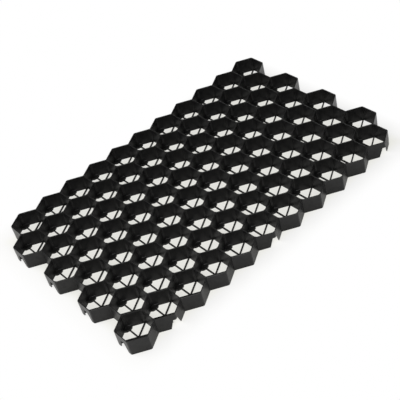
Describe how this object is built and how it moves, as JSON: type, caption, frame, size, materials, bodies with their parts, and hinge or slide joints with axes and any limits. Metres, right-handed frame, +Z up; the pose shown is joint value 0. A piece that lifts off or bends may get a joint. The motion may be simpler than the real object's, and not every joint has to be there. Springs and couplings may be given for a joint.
{
  "type": "grass paver grid",
  "caption": "Flat black plastic mat of hexagonal open cells with star ribs at the foot and hooked edges, laid in the ground to carry wheels over grass or gravel.",
  "frame": {"origin": "middle of the mat, at the level of the ground it lies on", "axes": "+X along the rows of cells, towards the short side with the hooks; +Y across the rows, towards the long side with the hooks; +Z up, from the star ribs to the rims"},
  "size_m": [0.6112, 0.3974, 0.03],
  "materials": {
    "plastic": "satin moulded polypropylene, black all through"
  },
  "bodies": {
    "root": {"paver_grid": "plastic"}
  },
  "joints": []
}
